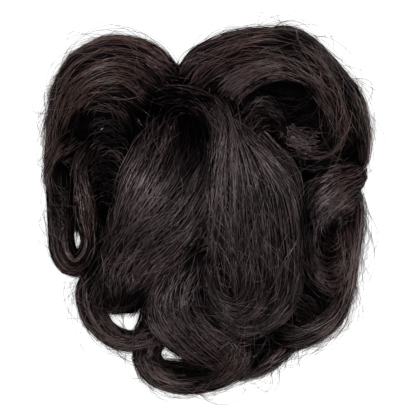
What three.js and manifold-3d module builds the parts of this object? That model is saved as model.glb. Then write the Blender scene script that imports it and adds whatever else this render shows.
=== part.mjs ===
// Hair topper: a domed net base with four snap clips under it, covered by dark hair in rolls, sweeps and ring curls.
// Millimetres, +Z up. The topper lies on the plane Z = 0, its front edge towards +Y, its middle over the origin.
import * as THREE from "three";
import { mergeVertices } from "three/addons/utils/BufferGeometryUtils.js";
import Module from "manifold-3d";

const wasm = await Module();
wasm.setup();

// Driving dimensions
const BASE_CENTRE = { x: 0, y: 17 };
const NET = { halfWidth: 60, halfLength: 67, rise: 28, wall: 1.2 };
const BED = { halfWidth: 72, halfLength: 76, rise: 40, netGap: 0.4 };
const CLIP = { length: 32, width: 11, thickness: 1.4, slotLength: 20, slotWidth: 3.2, arcSegments: 4 };
const CLIP_PLACES = [
  { name: "clip_front", turn: 0, reach: 54, height: 10.55, tilt: -34 },
  { name: "clip_left", turn: 90, reach: 47.5, height: 11.3, tilt: -34 },
  { name: "clip_back", turn: 180, reach: 54, height: 10.55, tilt: -34 },
  { name: "clip_right", turn: 270, reach: 47.5, height: 11.3, tilt: -34 },
];
const PIECE_GAP = 0.3;
const SKIRT = 5;
const ROOM = { side: 400, height: 200 };
const WELD = 1e-4;
const DOME_SEGMENTS = 30;
const DOME_RINGS = 6;
const LOCK_SIDES = 10;
const LOCK_STEPS_PER_ROW = 2;
const RIDGE_DEPTH = 0.1;

// One row for each section of a lock, from its root to its tip: the place of its middle, its breadth in plan
// and its depth.
const lock = (...rows) => rows.map(([x, y, z, breadth, depth]) => ({ x, y, z, breadth, depth }));

const LEFT_ROLL = lock(
  [-25, 67, 29, 40, 14],
  [-41, 83, 36, 44, 30],
  [-56, 88, 38, 42, 44],
  [-72.5, 84, 35, 38, 48],
  [-84, 73, 30, 30, 48],
  [-90.5, 57, 26, 20, 42],
  [-95, 40, 22, 12, 34],
  [-99, 25, 20, 5, 16],
);
const LEFT_INNER_ROLL = lock(
  [-47, 36, 25, 12, 12],
  [-49.5, 50, 27, 15, 15],
  [-58, 60, 27, 17, 17],
  [-68, 58, 26, 16, 18],
  [-75, 48, 24, 14, 18],
  [-77, 36, 22, 9, 14],
);
const LEFT_UNDER = lock(
  [-46, 72, 12, 16, 22],
  [-64, 70, 13, 30, 26],
  [-80, 58, 12, 32, 24],
  [-87, 42, 11, 24, 22],
  [-88, 30, 10, 14, 18],
);
const LEFT_RING = lock(
  [-60, 48, 22, 8, 18],
  [-73, 38, 23, 12, 28],
  [-77, 24, 22, 15, 36],
  [-75.5, 6, 20, 14, 40],
  [-72.5, -10, 19, 12, 40],
  [-72, -22, 18, 12, 38],
  [-80, -35, 17, 15, 36],
  [-87, -29, 17, 17, 36],
  [-90, -14, 17.5, 16, 38],
  [-90.5, 4, 18, 17, 38],
  [-91, 18, 19, 17, 36],
  [-90, 29, 20, 12, 26],
);
const UPPER_SWEEP = lock(
  [-20, 62, 33, 22, 13],
  [-23.5, 37, 43, 41, 17],
  [-31.5, 15, 46, 44, 19],
  [-41, -6.5, 42, 36, 21],
  [-52, -24, 33, 26, 22],
  [-61, -38, 24, 13, 18],
);
const LOWER_SWEEP = lock(
  [4, 22, 42, 16, 14],
  [-10, 0, 44, 30, 18],
  [-26, -17, 42, 36, 20],
  [-42, -32, 36, 38, 22],
  [-51, -47, 27, 36, 26],
  [-53, -60, 17, 30, 18],
);
const LEFT_BACK_RING = lock(
  [-55, -22, 20, 20, 20],
  [-67, -38, 20, 14, 30],
  [-73, -51, 18, 15, 36],
  [-69, -65, 17, 18, 36],
  [-60, -76, 16, 17, 34],
  [-47, -81, 16, 14, 34],
  [-33, -78, 17, 14, 34],
  [-24, -69, 18, 8, 26],
);
const BACK_CURL = lock(
  [2, -18, 34, 14, 16],
  [-13, -37, 36, 30, 18],
  [-22, -56, 32, 37, 26],
  [-17, -72, 25, 30, 34],
  [1, -79, 20, 34, 34],
  [18, -80, 18, 34, 28],
  [34, -72, 16, 20, 22],
);
const BACK_DROP = lock(
  [30, -58, 22, 20, 22],
  [25, -78, 21, 26, 30],
  [18, -93, 18, 24, 30],
  [6, -104, 15, 16, 26],
);
const BACK_RING = lock(
  [-26, -74, 14, 12, 22],
  [-37, -89, 14, 18, 28],
  [-33, -100, 13, 19, 27],
  [-21, -107, 13, 15, 27],
  [-5, -107, 13, 15, 27],
  [10, -104, 14, 13, 27],
  [22, -95, 14, 8, 22],
);
const BACK_TUFT = lock(
  [48, -64, 16, 14, 24],
  [50, -80, 14, 15, 27],
  [42, -91, 13, 14, 26],
  [32, -99, 12, 11, 24],
  [20, -104, 11, 5, 14],
);
const BACK_UNDER = lock(
  [40, -66, 10, 20, 20],
  [30, -82, 10, 26, 20],
  [14, -95, 10, 24, 20],
  [-4, -100, 9.5, 16, 19],
  [-16, -99, 9, 12, 18],
);
const CROWN_DROP = lock(
  [-2, 70, 32, 8, 10],
  [8, 62, 44, 11, 13],
  [15, 50, 53, 16, 14],
  [24, 36, 55, 34, 16],
  [36, 14, 56, 46, 18],
  [41, -12, 53, 40, 20],
  [44, -38, 46, 33, 24],
  [40, -58, 38, 27, 28],
  [25, -65, 34, 23, 28],
  [9, -58, 34, 20, 26],
  [4, -40, 38, 16, 22],
  [6, -22, 42, 8, 12],
);
const CROWN_FALL = lock(
  [-4, 66, 32, 8, 10],
  [9, 52, 50, 15, 13],
  [12, 34, 53, 26, 15],
  [17, 12, 54, 38, 17],
  [21, -14, 51, 44, 19],
  [24, -38, 45, 42, 22],
  [25, -56, 38, 30, 18],
);
const RIGHT_ROLL = lock(
  [-8, 70, 29, 32, 16],
  [2, 80, 33, 44, 24],
  [15, 88.5, 38, 42, 32],
  [35, 93, 42, 39, 44],
  [54.5, 90, 42, 31, 50],
  [70, 78, 41, 22, 50],
  [77.5, 62, 38, 18, 48],
  [80, 50, 35, 17, 44],
  [75, 39, 32, 15, 40],
  [64, 35, 30, 14, 34],
  [51, 39, 29, 11, 26],
  [43, 49, 28, 7, 14],
);
const RIGHT_OUTER = lock(
  [28, 101, 26, 14, 20],
  [47, 107, 25, 14, 36],
  [63, 102, 23, 13, 44],
  [78, 86, 22, 14, 44],
  [90, 68, 21, 14, 42],
  [96, 49, 20, 11, 40],
  [97.5, 33, 19, 8, 34],
  [96, 23, 19, 4, 20],
);
const RIGHT_INNER = lock(
  [20, 48, 34, 10, 10],
  [22, 60, 37, 14, 12],
  [30, 67.5, 38, 17, 13],
  [40, 64, 37, 17, 13],
  [46, 54, 36, 15, 13],
  [48.5, 42, 34, 9, 10],
);
const RIGHT_UNDER = lock(
  [30, 76, 14, 14, 24],
  [52, 70, 14, 32, 26],
  [72, 60, 13, 40, 26],
  [86, 43, 12, 26, 24],
  [92, 31, 11, 14, 20],
);
const RIGHT_SIDE_CURL = lock(
  [95, 23, 20, 8, 20],
  [90, 19, 26, 18, 28],
  [80, 14, 32, 26, 28],
  [70, 5, 34, 24, 26],
  [65, -9, 32, 17, 28],
  [64, -25, 28, 15, 32],
  [68, -40, 23, 15, 40],
  [77, -48, 20, 15, 40],
  [85.5, -38, 19, 14, 38],
  [87.5, -20, 19, 13, 38],
  [86, -6, 19, 8, 28],
);
const RIGHT_EDGE = lock(
  [88, 22, 16, 6, 20],
  [94, 6, 16, 8, 30],
  [93.5, -12, 16, 9, 33],
  [91, -32, 16, 9, 33],
  [88, -49, 15, 10, 32],
  [81, -66, 15, 10, 32],
  [69, -77, 14, 10, 30],
  [53, -86, 13, 8, 26],
);
const RIGHT_BACK_RING = lock(
  [84, -46, 17, 8, 24],
  [80, -58, 17, 12, 34],
  [71, -70, 16, 13, 34],
  [59, -77, 16, 13, 34],
  [48, -77, 17, 12, 34],
  [40, -68, 18, 7, 26],
);
const SIDE_UNDER = lock(
  [84, 31, 12, 24, 22],
  [80, 8, 12, 32, 24],
  [77, -16, 12, 33, 24],
  [75, -36, 12, 34, 24],
  [70, -50, 11, 28, 22],
  [57, -60, 10, 18, 20],
);

// The hair in sections, from the one that lies on top to the one that lies lowest. The root bed backs the crown.
const HAIR = [
  { name: "crown_hair", bed: true, locks: [CROWN_DROP, CROWN_FALL, UPPER_SWEEP, LOWER_SWEEP, RIGHT_INNER] },
  { name: "right_front_roll", locks: [RIGHT_ROLL, RIGHT_OUTER, RIGHT_UNDER] },
  { name: "left_front_roll", locks: [LEFT_ROLL, LEFT_INNER_ROLL, LEFT_UNDER] },
  { name: "right_side_curls", locks: [RIGHT_SIDE_CURL, RIGHT_EDGE, RIGHT_BACK_RING, SIDE_UNDER] },
  { name: "left_ring_curl", locks: [LEFT_RING] },
  { name: "back_curls", locks: [BACK_CURL, BACK_DROP, BACK_RING, BACK_TUFT, BACK_UNDER] },
  { name: "left_back_curl", locks: [LEFT_BACK_RING] },
];

// Materials
const hairFinish = new THREE.MeshStandardMaterial({ color: 0x2a2120, roughness: 0.45, metalness: 0 });
const netFinish = new THREE.MeshStandardMaterial({ color: 0x1c1818, roughness: 0.9, metalness: 0 });
const clipFinish = new THREE.MeshStandardMaterial({ color: 0x151313, roughness: 0.4, metalness: 0.6 });

// Solids
function solidOf(geometry) {
  const bare = geometry.clone();
  bare.deleteAttribute("normal");
  bare.deleteAttribute("uv");
  const merged = mergeVertices(bare, WELD);
  const corners = merged.index.array;
  const kept = [];
  for (let i = 0; i < corners.length; i += 3) {
    const [a, b, c] = corners.subarray(i, i + 3);
    if (a !== b && b !== c && c !== a) kept.push(a, b, c);
  }
  return new wasm.Manifold(
    new wasm.Mesh({
      numProp: 3,
      vertProperties: merged.attributes.position.array,
      triVerts: new Uint32Array(kept),
    }),
  );
}

function meshOf(name, solid, material) {
  const { vertProperties, triVerts } = solid.getMesh();
  const geometry = new THREE.BufferGeometry()
    .setAttribute("position", new THREE.BufferAttribute(vertProperties, 3))
    .setIndex(new THREE.BufferAttribute(triVerts, 1));
  geometry.computeVertexNormals();
  const mesh = new THREE.Mesh(geometry, material);
  mesh.name = name;
  return mesh;
}

function largestBody(solid) {
  return solid.decompose().reduce((best, body) => (body.volume() > best.volume() ? body : best));
}

// Half of an ellipsoid over the base's centre, standing on the table, or on a skirt that goes below the table.
function domeSolid({ halfWidth, halfLength, rise }, grow = 0, skirt = 0) {
  const profile = [];
  for (let ring = 0; ring <= DOME_RINGS; ring++) {
    const angle = (ring / DOME_RINGS) * (Math.PI / 2);
    profile.push(new THREE.Vector2(Math.sin(Math.PI / 2 - angle), Math.sin(angle)));
  }
  profile[DOME_RINGS].x = 0;
  profile.unshift(new THREE.Vector2(0, -skirt / rise), new THREE.Vector2(1, -skirt / rise));
  const dome = new THREE.LatheGeometry(profile, DOME_SEGMENTS);
  dome.rotateX(Math.PI / 2);
  dome.scale(halfWidth + grow, halfLength + grow, rise + grow);
  dome.translate(BASE_CENTRE.x, BASE_CENTRE.y, 0);
  return solidOf(dome);
}

// A value of the rows at t from 0, the root, to 1, the tip.
function along(rows, column, t) {
  const place = t * (rows.length - 1);
  const row = Math.min(Math.floor(place), rows.length - 2);
  return THREE.MathUtils.lerp(rows[row][column], rows[row + 1][column], place - row);
}

// A lock is a ridged tube that follows its rows, broad in plan and deep upwards.
function lockSolid(rows, grow) {
  const middle = new THREE.CatmullRomCurve3(rows.map(({ x, y, z }) => new THREE.Vector3(x, y, z)));
  const steps = (rows.length - 1) * LOCK_STEPS_PER_ROW;
  const tube = new THREE.CylinderGeometry(1, 1, 1, LOCK_SIDES, steps);
  const corners = tube.attributes.position;
  const up = new THREE.Vector3(0, 0, 1);
  for (let i = 0; i < corners.count; i++) {
    const corner = new THREE.Vector3().fromBufferAttribute(corners, i);
    const t = corner.y + 0.5;
    const tangent = middle.getTangent(t);
    const side = new THREE.Vector3().crossVectors(tangent, up).normalize();
    const lift = new THREE.Vector3().crossVectors(side, tangent);
    const facet = Math.round((Math.atan2(corner.z, corner.x) / (2 * Math.PI)) * LOCK_SIDES);
    const ridge = facet % 2 === 0 ? 1 : 1 - RIDGE_DEPTH;
    const placed = middle
      .getPoint(t)
      .addScaledVector(tangent, grow * ((t === 1) - (t === 0)))
      .addScaledVector(side, corner.x * ridge * (along(rows, "breadth", t) / 2 + grow))
      .addScaledVector(lift, corner.z * ridge * (along(rows, "depth", t) / 2 + grow));
    corners.setXYZ(i, placed.x, placed.y, placed.z);
  }
  return solidOf(tube);
}

// The locks of a section fused with its bed, swollen by `grow`.
function sectionSolid({ bed, locks }, grow) {
  const solids = locks.map((rows) => lockSolid(rows, grow));
  if (bed) solids.push(domeSolid(BED, grow));
  return solids.reduce((fused, next) => fused.add(next));
}

// Pieces
function netBase() {
  return domeSolid(NET).subtract(domeSolid(NET, -NET.wall, SKIRT));
}

function hairSections() {
  const room = new THREE.BoxGeometry(ROOM.side, ROOM.side, ROOM.height);
  room.translate(0, 0, ROOM.height / 2);
  const aboveTable = solidOf(room);
  let taken = domeSolid(NET, BED.netGap, SKIRT);
  return HAIR.map((section) => {
    const solid = sectionSolid(section, 0).intersect(aboveTable).subtract(taken);
    taken = taken.add(sectionSolid(section, PIECE_GAP));
    return meshOf(section.name, largestBody(solid), hairFinish);
  });
}

// A flat snap clip with rounded ends and a slot for its tongue.
function clipGeometry() {
  const { length, width, thickness, slotLength, slotWidth, arcSegments } = CLIP;
  const round = width / 2;
  const straight = length / 2 - round;
  const outline = new THREE.Shape();
  outline.absarc(straight, 0, round, -Math.PI / 2, Math.PI / 2);
  outline.absarc(-straight, 0, round, Math.PI / 2, (3 * Math.PI) / 2);
  const slot = new THREE.Path();
  const slotStraight = (slotLength - slotWidth) / 2;
  slot.absarc(slotStraight, 0, slotWidth / 2, -Math.PI / 2, Math.PI / 2);
  slot.absarc(-slotStraight, 0, slotWidth / 2, Math.PI / 2, (3 * Math.PI) / 2);
  outline.holes.push(slot);
  return new THREE.ExtrudeGeometry(outline, { depth: thickness, bevelEnabled: false, curveSegments: arcSegments });
}

function clips() {
  return CLIP_PLACES.map(({ name, turn, reach, height, tilt }) => {
    const clip = new THREE.Mesh(clipGeometry(), clipFinish);
    clip.name = name;
    clip.position.set(0, reach, height);
    clip.rotation.x = THREE.MathUtils.degToRad(tilt);
    const side = new THREE.Group();
    side.position.set(BASE_CENTRE.x, BASE_CENTRE.y, 0);
    side.rotation.z = THREE.MathUtils.degToRad(turn);
    side.add(clip);
    return side;
  });
}

const topper = new THREE.Group();
topper.add(meshOf("net_base", netBase(), netFinish), ...clips(), ...hairSections());
const middle = new THREE.Box3().setFromObject(topper).getCenter(new THREE.Vector3());
topper.position.set(-middle.x, -middle.y, 0);

export default topper;
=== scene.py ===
"""Hair topper lying hair side up: dark locks and loose strands over a net base with snap clips."""
import math
from collections import namedtuple

import bmesh
import bpy
import numpy as np
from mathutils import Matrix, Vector


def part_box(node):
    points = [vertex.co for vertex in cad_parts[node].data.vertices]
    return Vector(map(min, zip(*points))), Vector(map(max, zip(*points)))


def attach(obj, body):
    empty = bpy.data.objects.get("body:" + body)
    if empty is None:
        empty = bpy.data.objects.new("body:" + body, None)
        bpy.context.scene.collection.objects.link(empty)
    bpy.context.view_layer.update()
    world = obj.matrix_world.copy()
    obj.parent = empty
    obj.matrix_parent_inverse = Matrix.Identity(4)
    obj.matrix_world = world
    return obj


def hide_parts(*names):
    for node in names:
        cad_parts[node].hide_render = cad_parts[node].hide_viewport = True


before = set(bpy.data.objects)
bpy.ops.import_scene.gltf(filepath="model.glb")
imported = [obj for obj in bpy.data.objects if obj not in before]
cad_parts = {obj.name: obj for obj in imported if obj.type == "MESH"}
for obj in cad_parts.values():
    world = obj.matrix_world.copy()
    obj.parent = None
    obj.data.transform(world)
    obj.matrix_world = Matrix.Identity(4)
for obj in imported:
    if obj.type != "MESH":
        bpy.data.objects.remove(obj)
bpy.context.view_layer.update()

# Driving sizes, in millimetres like the lock tables
MM = 0.001
MM_PER_CM = 10
BASE_CENTRE = (0, 17)
BED_HALF_WIDTH, BED_HALF_LENGTH, BED_RISE = 72, 76, 40
NET_HALF_WIDTH, NET_HALF_LENGTH, NET_RISE = 60, 67, 28
BED_OVER_NET = 0.6
TOPPER_HALF_WIDTH, TOPPER_HALF_LENGTH = 100, 113
WHORL = (-20, 67)
SAME_PLACE = 0.01
FLOOR_DROP, FLOOR_HALF = 0.3, 3000

# What keeps a place in a table short of its last row
SHORT_OF_LAST = 1.001

# The photo's frame
PHOTO_SIDE = 416
MM_PER_PIXEL = 0.62
MIDDLE_PIXEL = (206, 209.5)
CAMERA_HEIGHT = 1800
OUTLINE_HEIGHT = 22
SENSOR = 36

# The mass inside a lock: its ridges and their twist, its rounded ends, its mesh and its map
CORE_WAVES, CORE_RIDGES, CORE_TWIST, CORE_GROOVE = 5, (5, 17), 3, 0.018
ROUND_END, BLUNT_END = 0.06, 0.04
CORE_AROUND, CORE_STEP, CORE_FEWEST, MAPS_APART = 40, 4, 14, 90

# The root bed: each wave's depth, ridges and twist, its mesh and its map in centimetres
BED_WAVES = ((0.01, 31, 0), (0.012, 47, 4))
BED_AROUND, BED_ALONG, BED_MAP = 120, 41, (46, 18, 0)

# Strand sizes, from the thinnest to the thickest of each kind
FAN_THICK = (0.36, 0.60)
FILL_THICK = (0.5, 0.9)
STRAY_THICK = (0.22, 0.36)
FLYAWAY_THICK = (0.18, 0.30)
BED_THICK = (0.2, 0.4)
RIM_THICK = (0.3, 0.5)
STRAY_LENGTH = (14, 46)
STRAND_STEP = 7
BUNDLE_WIDTH = 0.3
LEAST_HEIGHT = 0.4
STAND_PROUD = 12
MOST_RISE = 4.5
STEEPEST = 0.9
# How long the painted glints and shade along a strand are, and how far apart they lie from strand to strand
BROKEN_EVERY, RUNS_APART = 9, 37.3

# Strand counts
SIDES = 3
FEWEST_POINTS, MOST_POINTS = 9, 34
BED_COUNT, BED_POINTS = 340, 14
RIM_COUNT, RIM_POINTS = 300, 10
FILL_COUNT, FILL_POINTS = 110, 7
STRAY_COUNT, STRAY_POINTS = 1150, 12
FLYAWAY_POINTS = 14
SECTION_SEED, LOOSE_SEED = 100, 77

# Angles round a lock from its right side, and round the bed to each side of the front
LOW_ANGLE, HIGH_ANGLE = -1.0, np.pi + 1.0
BED_SPREAD, RIM_SPREAD = 2 * np.pi, 0.9

# Tones: where each lit or shaded copy of the hair begins, how bundles, strands and stretches differ, and the
# mean of each kind
DARK_TONE, GLOSS_AND_SHEEN_TONE, SHEEN_TONE, BRIGHTEST_TONE = 0.16, 0.62, 1.0, 1.5
TONE_SPREAD, STRAND_SPREAD, STRETCH_SPREAD = (0.55, 0.75), 0.10, 0.12
FLANK_TONE = 0.5
FILL_TONE = 0.14
STRAY_TONE, LEAST_STRAY_TONE = 0.6, 0.45
FLYAWAY_TONE = 0.5
BED_TONE = 0.3
RIM_TONE = 0.6

# Painted light and shade by the height of hair above the hair around it, and painted rim light in brown by
# the distance from the middle
SHADE_DEPTH = 12
LEVEL_LIGHT, LEAST_LIGHT, MOST_LIGHT = 0.95, 0.1, 1.25
FAN_LEAST_LIGHT, STRAY_LEAST_LIGHT = 0.28, 0.35
BROWN_FROM, BROWN_OVER = 0.72, 0.3

# Colours and finishes
HAIR_BLACK = (0.0004, 0.0003, 0.0003)
# HAIR_IN_ colours are lit and shaded copies of one hair colour, painted light, painted shade and painted
# sheen; HAIR_BROWN is a painted rim light at the outline and the brown of one curl
HAIR_IN_LIGHT = (0.0540, 0.0286, 0.0331)
HAIR_BROWN = (0.083, 0.0448, 0.0343)
HAIR_IN_SHADE = (0.020, 0.0119, 0.0134)
HAIR_IN_GLOSS_AND_SHEEN = (0.068, 0.0451, 0.0484)
HAIR_IN_SHEEN = (0.096, 0.0675, 0.0708)
GLOSS_TINT = (1, 0.84, 0.86, 1)
NET_HOLE, NET_THREAD = (0.010, 0.008, 0.008), (0.045, 0.038, 0.036)
CLIP_DARK, CLIP_WORN = (0.008, 0.007, 0.007), (0.024, 0.021, 0.020)
FLOOR_WHITE = (0.93, 0.93, 0.93, 1)
SKY_WHITE, SKY_STRENGTH = (1, 1, 1, 1), 0.2
DULL_ROUGHNESS, GLOSS_GAIN = 0.54, 0.22
NOISE_LOW, NOISE_HIGH = 0.34, 0.66

# Locks: the place of the middle, the breadth and the depth of each section, from root to tip
LOCKS = {
    "left_roll": (
        (-25, 67, 29, 40, 14), (-41, 82.5, 36, 43, 30), (-55.5, 87, 38, 40, 44), (-71, 82.5, 35, 35, 48),
        (-82.5, 71.5, 30, 26, 48), (-89.5, 56.5, 26, 17, 42), (-94.5, 40, 22, 10, 34), (-98.5, 25, 20, 5, 16),
    ),
    "left_inner_roll": (
        (-47, 36, 25, 12, 12), (-49.5, 50, 27, 15, 15), (-58, 60, 27, 17, 17), (-68, 58, 26, 16, 18),
        (-75, 48, 24, 14, 18), (-77, 36, 22, 9, 14),
    ),
    "left_under": (
        (-46, 72, 12, 16, 22), (-64, 70, 13, 30, 26), (-80, 58, 12, 32, 24), (-87, 42, 11, 24, 22),
        (-88, 30, 10, 14, 18),
    ),
    "left_ring": (
        (-60, 48, 22, 8, 18), (-73.5, 38, 23, 9, 28), (-77.5, 25, 22, 9.5, 34), (-74.8, 6, 20, 13.5, 40),
        (-73.5, -9, 19, 12.5, 40), (-72, -21, 18, 11, 38), (-76, -31.5, 17.5, 14, 37), (-82, -34, 17, 17, 36),
        (-88, -27.5, 17, 16, 36), (-90, -14, 17.5, 15, 38), (-90.5, 4, 18, 16, 38), (-91, 18, 19, 16.5, 36),
        (-90, 29, 20, 12, 26),
    ),
    "upper_sweep": (
        (-20, 62, 33, 22, 13), (-23.5, 37, 43, 41, 17), (-31.5, 15, 46, 44, 19), (-41, -6.5, 42, 36, 21),
        (-52, -24, 33, 26, 22), (-61, -38, 24, 13, 18),
    ),
    "lower_sweep": (
        (4, 22, 42, 16, 14), (-10, 0, 44, 30, 18), (-26, -17, 42, 36, 20), (-42, -32, 36, 38, 22),
        (-51, -47, 27, 36, 26), (-54, -63, 16, 26, 18),
    ),
    "left_back_ring": (
        (-55, -22, 20, 20, 20), (-67, -38, 20, 14, 30), (-73, -51, 18, 15, 36), (-70, -65.5, 17, 16, 36),
        (-60.8, -77, 16, 13.4, 34), (-47, -82, 16, 12.6, 34), (-33, -78, 17, 14, 34), (-24, -69, 18, 8, 26),
    ),
    "back_curl": (
        (2, -18, 34, 14, 16), (-13, -37, 36, 30, 18), (-22, -56, 32, 37, 26), (-17, -72, 25, 30, 34),
        (1, -79, 20, 34, 34), (18, -80, 18, 34, 28), (34, -72, 16, 20, 22),
    ),
    "back_drop": (
        (30, -58, 22, 20, 22), (25, -78, 21, 26, 30), (18, -93, 18, 24, 30), (6, -104, 15, 16, 26),
    ),
    "back_ring": (
        (-26, -74, 14, 12, 22), (-37, -89, 14, 17, 28), (-32.5, -100, 13, 18, 27), (-21, -107, 13, 14.5, 27),
        (-5, -107, 13, 15, 27), (10, -104, 14, 13, 27), (22, -95, 14, 8, 22),
    ),
    "back_tuft": (
        (48, -64, 16, 14, 24), (50, -80, 14, 15, 27), (42, -91, 13, 14, 26), (32, -99, 12, 11, 24),
        (20, -104, 11, 5, 14),
    ),
    "back_under": (
        (40, -66, 10, 20, 20), (30, -82, 10, 26, 20), (14, -95, 10, 24, 20), (-4, -100, 9.5, 16, 19),
        (-16, -99, 9, 12, 18),
    ),
    "crown_drop": (
        (-2, 70, 32, 8, 10), (8, 62, 44, 11, 13), (15, 50, 53, 16, 14), (24, 36, 55, 34, 16),
        (36, 14, 56, 46, 18), (41, -12, 53, 40, 20), (44, -38, 46, 33, 24), (40, -58, 38, 27, 28),
        (25, -65, 34, 23, 28), (9, -58, 34, 20, 26), (4, -40, 38, 16, 22), (6, -22, 42, 8, 12),
    ),
    "crown_fall": (
        (-4, 66, 32, 8, 10), (9, 52, 50, 15, 13), (12, 34, 53, 26, 15), (17, 12, 54, 38, 17),
        (21, -14, 51, 44, 19), (24, -38, 45, 42, 22), (25, -56, 38, 30, 18),
    ),
    "right_inner": (
        (20, 48, 34, 10, 10), (22, 60, 37, 14, 12), (30, 67.5, 38, 17, 13), (40, 64, 37, 17, 13),
        (46, 54, 36, 15, 13), (48.5, 42, 34, 9, 10),
    ),
    "right_roll": (
        (-8, 70, 29, 32, 16), (2, 80, 33, 44, 24), (15, 87.6, 38, 41, 32), (35, 92.4, 42, 38.5, 44),
        (54.5, 90, 42, 31, 50), (70, 78, 41, 22, 50), (77.5, 62, 38, 18, 48), (80, 50, 35, 17, 44),
        (75, 39, 32, 15, 40), (64, 35, 30, 14, 34), (51, 39, 29, 11, 26), (43, 49, 28, 7, 14),
    ),
    "right_outer": (
        (28, 100, 26, 13, 20), (47, 106.6, 25, 14, 36), (62.5, 101.3, 23, 12, 44), (77.3, 85.5, 22, 13, 44),
        (90, 68, 21, 14, 42), (96, 49, 20, 11, 40), (97.5, 33, 19, 8, 34), (96, 23, 19, 4, 20),
    ),
    "right_under": (
        (30, 76, 14, 14, 24), (52, 70, 14, 32, 26), (72, 60, 13, 40, 26), (86, 43, 12, 26, 24),
        (92, 31, 11, 14, 20),
    ),
    "right_side_curl": (
        (95, 23, 20, 8, 20), (90, 19, 26, 18, 28), (80, 14, 32, 26, 28), (70, 5, 34, 24, 26),
        (65, -9, 32, 17, 28), (64, -25, 28, 15, 32), (68, -40, 23, 15, 40), (77, -48, 20, 15, 40),
        (85.5, -38, 19, 14, 38), (87.5, -20, 19, 13, 38), (86, -6, 19, 8, 28),
    ),
    "right_edge": (
        (88, 22, 16, 6, 20), (93.5, 6, 16, 7, 30), (93, -12, 16, 8, 33), (90.3, -32, 16, 8, 33),
        (87.3, -49, 15, 9, 32), (81, -66, 15, 10, 32), (69, -77, 14, 10, 30), (53, -86, 13, 8, 26),
    ),
    "right_back_ring": (
        (84, -46, 17, 8, 24), (80, -58, 17, 12, 34), (71, -70, 16, 13, 34), (59, -77, 16, 13, 34),
        (48, -77, 17, 12, 34), (40, -68, 18, 7, 26),
    ),
    "side_under": (
        (84, 31, 12, 24, 22), (80, 8, 12, 32, 24), (77, -16, 12, 33, 24), (75, -36, 12, 34, 24),
        (70, -50, 11, 28, 22), (57, -60, 10, 18, 20),
    ),
}

# How a lock is covered: how densely, how bright its strands are, how far they stray, the size of the mass
# inside it, and the share of its length that is painted dark as the shade of the whorl
Style = namedtuple("Style", "cover tone mess core root")
FULL = Style(cover=1.0, tone=1.0, mess=1.0, core=0.94, root=0.0)
ROOTED = Style(cover=1.0, tone=1.0, mess=0.7, core=0.94, root=0.16)
ROLLED = Style(cover=1.0, tone=1.0, mess=1.0, core=0.94, root=0.07)
WILD = Style(cover=0.9, tone=0.95, mess=1.6, core=0.92, root=0.0)
# Locks deep in hollows have darker strands: painted shade
HOLLOW = Style(cover=0.7, tone=0.5, mess=2.2, core=0.75, root=0.0)
DARK = Style(cover=0.7, tone=0.34, mess=2.6, core=0.75, root=0.0)
HIDDEN = Style(cover=0.75, tone=0.95, mess=1.6, core=0.90, root=0.0)

# Which locks make up each section
SECTIONS = {
    "crown_hair": {
        "crown_drop": ROOTED, "crown_fall": ROOTED, "upper_sweep": ROOTED,
        "lower_sweep": FULL, "right_inner": HOLLOW,
    },
    "right_front_roll": {"right_roll": ROLLED, "right_outer": FULL, "right_under": HIDDEN},
    "left_front_roll": {"left_roll": ROLLED, "left_inner_roll": DARK, "left_under": HIDDEN},
    "right_side_curls": {
        "right_side_curl": FULL, "right_edge": WILD, "right_back_ring": FULL, "side_under": HIDDEN,
    },
    "left_ring_curl": {"left_ring": WILD},
    "back_curls": {
        "back_curl": FULL, "back_drop": FULL, "back_ring": FULL, "back_tuft": WILD, "back_under": HIDDEN,
    },
    "left_back_curl": {"left_back_ring": FULL},
}

# Hollows where little light falls, painted as shade: their middle, half width, half length and how dark they
# are. Patches of lighter, glossier hair, a painted sheen, have a darkness below 0
Hollow = namedtuple("Hollow", "x y wide long dark")
HOLLOWS = [Hollow(*row) for row in (
    (-24, 66, 15, 10, 0.98), (-7, 44, 11, 17, 0.90), (-63, 48, 20, 14, 0.92), (-62, 18, 8, 21, 0.92),
    (-89, 46, 4, 9, 0.70), (48, 74, 20, 5, 0.95), (60, 64, 10, 11, 0.97), (44, 60, 14, 12, 0.55),
    (-90, 2, 10, 26, 0.66), (55, -79, 20, 7, 0.72), (1, 24, 4, 15, 0.70), (24, -70, 22, 9, 0.30),
    (5, -71, 4, 5, 0.55), (24, -81, 13, 3, 0.60), (43, -76, 6, 4, 0.60), (33, 8, 20, 15, 0.40),
    (80, 83, 4, 6, 0.80), (86, 71, 4, 7, 0.80), (52, 104, 18, 6, 0.85), (3, -52, 8, 16, 0.40),
    (91, 43, 5, 6, 0.90), (-8, -102, 15, 8, 0.85), (-46, -55, 13, 7, 0.90), (-69, -39, 5, 12, 0.90),
    (60.5, -10, 4, 24, 0.93), (75, -17, 6, 7, 0.95), (39, -50, 3, 14, 0.60), (31, -90, 4, 13, 0.85),
    (64, -59, 14, 9, 0.88), (-8, -29, 6, 9, 0.85), (-18, 19, 12, 22, 0.48), (-73, 26, 9, 11, 0.45),
    (-57, -23, 8, 9, 0.42), (-70, -55, 9, 9, 0.50), (74, 41, 9, 8, 0.65), (82, -62, 13, 14, 0.38),
    (46, 90, 18, 11, 0.35), (-42, 10, 10, 20, -0.66), (-44, -34, 17, 10, -1.40),
    (17, 99, 16, 10, -0.50), (-4, 88, 16, 8, -0.55), (-38, 91, 14, 10, -0.90), (-50, 104, 16, 8, -0.35),
    (-20, -6, 15, 15, 0.25), (22, 28, 12, 10, -0.05), (19, 76, 9, 8, -2.60), (60, 43, 9, 6, -2.60),
    (73, 20, 9, 9, -0.25), (89, -28, 6, 22, -0.35), (4, -78, 11, 8, -0.40), (-13, -62, 10, 14, -0.10),
    (-66, 85, 18, 12, -0.12),
)]

# A curl that is browner than the rest, written as a hollow is
BROWN_CURL = Hollow(-74, -4, 13, 30, 0.9)

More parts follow.
